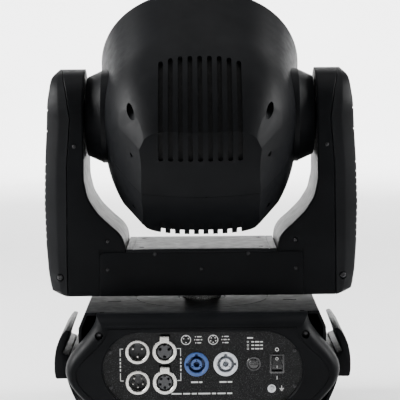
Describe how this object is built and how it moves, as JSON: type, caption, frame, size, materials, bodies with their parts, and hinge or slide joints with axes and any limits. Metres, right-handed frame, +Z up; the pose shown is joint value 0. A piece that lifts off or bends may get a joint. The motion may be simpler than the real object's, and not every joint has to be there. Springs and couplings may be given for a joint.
{
  "type": "moving head light",
  "caption": "Stage light with a tilting, slotted lamp head between two yoke arms, turning on a barrel-shaped base with side handles and a rear connector panel.",
  "frame": {"origin": "on the surface the feet stand on, under the pan axis, at the middle of the object's box", "axes": "+Z up along the pan axis; the connector panel faces -Y; +X is to the right when looking at that panel; at rest the lamp points to +Y and 36 degrees up"},
  "size_m": [0.3236, 0.2581, 0.45],
  "materials": {
    "black_moulding": "fine satin grain",
    "grey_moulding": "fine satin grain",
    "panel_paint": "speckled powder coat",
    "nickel": "satin nickel",
    "blue_plastic": "satin",
    "white_plastic": "satin",
    "black_gloss": "satin gloss",
    "steel": "turned",
    "alloy": "bead blasted",
    "rubber": "matt",
    "clear": "polished",
    "lens_clear": "moulded",
    "circuit_board": "solder mask"
  },
  "bodies": {
    "base": {"base_housing": "black_moulding", "base_tray": "panel_paint", "rear_shell": "black_moulding", "front_shell": "black_moulding", "rear_panel": "panel_paint", "front_panel": "panel_paint", "data_inlet_3pin": "nickel", "data_inlet_5pin": "nickel", "data_outlet_3pin": "nickel", "data_outlet_5pin": "nickel", "power_inlet": "blue_plastic", "power_outlet": "white_plastic", "fuse_holder": "black_gloss", "switch_bezel": "black_gloss", "handle_left": "black_moulding", "handle_right": "black_moulding", "foot_1": "rubber", "foot_2": "rubber", "foot_3": "rubber", "foot_4": "rubber", "power_supply": "alloy", "pan_motor": "steel", "pan_belt": "rubber"},
    "yoke": {"crossbar": "black_moulding", "crossbar_cover": "grey_moulding", "crossbar_rear_plate": "black_moulding", "crossbar_front_plate": "black_moulding", "arm_frame_left": "black_moulding", "arm_frame_right": "black_moulding", "arm_cover_left": "grey_moulding", "arm_cover_right": "grey_moulding", "pan_shaft": "steel", "pan_pulley": "alloy", "tilt_motor": "steel", "tilt_belt": "rubber"},
    "head": {"head_shell_upper": "black_moulding", "head_shell_lower": "black_moulding", "hub_left": "black_moulding", "hub_right": "black_moulding", "tilt_pulley": "alloy", "front_bezel": "grey_moulding", "front_glass": "clear", "head_chassis": "alloy", "heat_sink": "alloy", "led_board": "circuit_board", "fan_frame": "black_moulding", "zoom_motor": "steel"},
    "outlet_latch_3pin": {"outlet_latch_3pin": "nickel"},
    "outlet_latch_5pin": {"outlet_latch_5pin": "nickel"},
    "fuse_cap": {"fuse_cap": "black_gloss"},
    "switch_rocker": {"switch_rocker": "black_gloss"},
    "menu_button_1": {"menu_button_1": "grey_moulding"},
    "menu_button_2": {"menu_button_2": "grey_moulding"},
    "menu_button_3": {"menu_button_3": "grey_moulding"},
    "menu_button_4": {"menu_button_4": "grey_moulding"},
    "pan_pinion": {"pan_pinion": "steel"},
    "tilt_pinion": {"tilt_pinion": "steel"},
    "lens_array": {"lens_array": "lens_clear"},
    "zoom_screw": {"zoom_screw": "steel"},
    "fan_rotor": {"fan_rotor": "black_moulding"}
  },
  "joints": [
    {"name": "pan", "type": "hinge", "parent": "base", "child": "yoke", "pos_m": [0, 0, 0.136], "axis": [0, 0, 1], "range_deg": [-270, 270]},
    {"name": "tilt", "type": "hinge", "parent": "yoke", "child": "head", "pos_m": [0, 0, 0.319], "axis": [1, 0, 0], "range_deg": [-81, 189]},
    {"name": "pan_drive", "type": "hinge", "parent": "base", "child": "pan_pinion", "pos_m": [0.068, 0, 0.101], "axis": [0, 0, 1], "range_deg": [-1200, 1200]},
    {"name": "tilt_drive", "type": "hinge", "parent": "yoke", "child": "tilt_pinion", "pos_m": [0.129, 0, 0.166], "axis": [1, 0, 0], "range_deg": [-300, 660]},
    {"name": "zoom", "type": "slide", "parent": "head", "child": "lens_array", "axis": [0, 0.809, 0.5878], "range_m": [-0.018, 0.012]},
    {"name": "zoom_lead", "type": "hinge", "parent": "head", "child": "zoom_screw", "pos_m": [0, 0.08674, 0.28808], "axis": [0, 0.809, 0.5878], "range_deg": [-1200, 800]},
    {"name": "fan_spin", "type": "hinge", "parent": "head", "child": "fan_rotor", "pos_m": [0, -0.06715, 0.27021], "axis": [0, 0.809, 0.5878], "continuous": true},
    {"name": "latch_3pin_press", "type": "slide", "parent": "base", "child": "outlet_latch_3pin", "axis": [0, 1, 0], "range_m": [0, 0.0015], "stiffness_N_per_m": 400, "springref_m": -0.001},
    {"name": "latch_5pin_press", "type": "slide", "parent": "base", "child": "outlet_latch_5pin", "axis": [0, 1, 0], "range_m": [0, 0.0015], "stiffness_N_per_m": 400, "springref_m": -0.001},
    {"name": "fuse_cap_turn", "type": "hinge", "parent": "base", "child": "fuse_cap", "pos_m": [0.0511, -0.1154, 0.0763], "axis": [0, -1, 0], "range_deg": [0, 90]},
    {"name": "power_switch", "type": "hinge", "parent": "base", "child": "switch_rocker", "pos_m": [0.0743, -0.1119, 0.0763], "axis": [1, 0, 0], "range_deg": [0, 24]},
    {"name": "menu_1_press", "type": "slide", "parent": "base", "child": "menu_button_1", "axis": [0, -1, 0], "range_m": [0, 0.001], "stiffness_N_per_m": 400, "springref_m": -0.001},
    {"name": "menu_2_press", "type": "slide", "parent": "base", "child": "menu_button_2", "axis": [0, -1, 0], "range_m": [0, 0.001], "stiffness_N_per_m": 400, "springref_m": -0.001},
    {"name": "menu_3_press", "type": "slide", "parent": "base", "child": "menu_button_3", "axis": [0, -1, 0], "range_m": [0, 0.001], "stiffness_N_per_m": 400, "springref_m": -0.001},
    {"name": "menu_4_press", "type": "slide", "parent": "base", "child": "menu_button_4", "axis": [0, -1, 0], "range_m": [0, 0.001], "stiffness_N_per_m": 400, "springref_m": -0.001}
  ],
  "couplings": [
    {"joint": "pan_drive", "follows": "pan", "ratio": 4.2353},
    {"joint": "tilt_drive", "follows": "tilt", "ratio": 3.3913},
    {"joint": "zoom_lead", "follows": "zoom", "rad_per_m": 1047.2}
  ]
}
